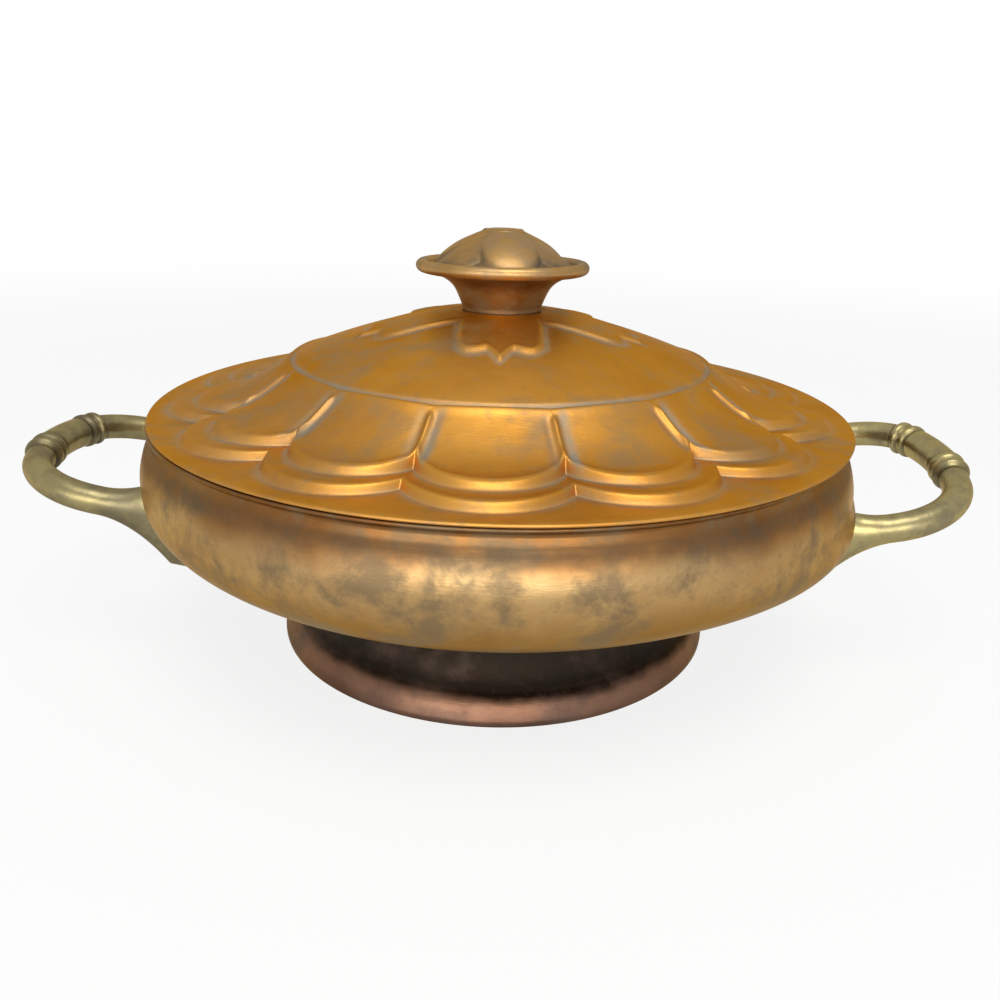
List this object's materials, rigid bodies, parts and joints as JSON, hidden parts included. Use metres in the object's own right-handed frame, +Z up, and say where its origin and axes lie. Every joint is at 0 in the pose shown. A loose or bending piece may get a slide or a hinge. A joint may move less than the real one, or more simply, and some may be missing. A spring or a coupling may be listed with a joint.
{
  "type": "lidded tureen",
  "caption": "Round copper tureen on a pedestal foot with a scalloped, ribbed lift-off lid, a trumpet knob and cast brass loop handles.",
  "frame": {"origin": "centre of the foot's base on the table", "axes": "+Z up, +X through the handles towards the right-hand one in the picture, +Y away from the viewer"},
  "size_m": [0.3425, 0.253, 0.1474],
  "materials": {
    "bowl_copper": "old copper, rubbed, with brown tarnish",
    "foot_copper": "old copper, darkened in the hollow",
    "lid_copper": "old copper, satin, tarnished in the recesses",
    "knob_copper": "old copper, brown",
    "handle_brass": "cast brass, rubbed and olive in the hollows",
    "inner_brass": "dull brass",
    "tin_solder": "dull grey tin solder"
  },
  "bodies": {
    "tureen": {"bowl": "bowl_copper", "foot_ring": "foot_copper", "foot_solder": "tin_solder", "handle_left": "handle_brass", "handle_right": "handle_brass", "handle_roves_left": "inner_brass", "handle_roves_right": "inner_brass"},
    "lid": {"lid": "lid_copper", "lid_collar": "lid_copper", "collar_solder": "tin_solder", "knob_cup": "knob_copper", "knob_cap": "knob_copper", "knob_stud": "inner_brass", "knob_washer": "inner_brass", "knob_nut": "inner_brass"}
  },
  "joints": [
    {"name": "lid_lift", "type": "slide", "parent": "tureen", "child": "lid", "axis": [0, 0, 1], "range_m": [0, 0.08]}
  ]
}
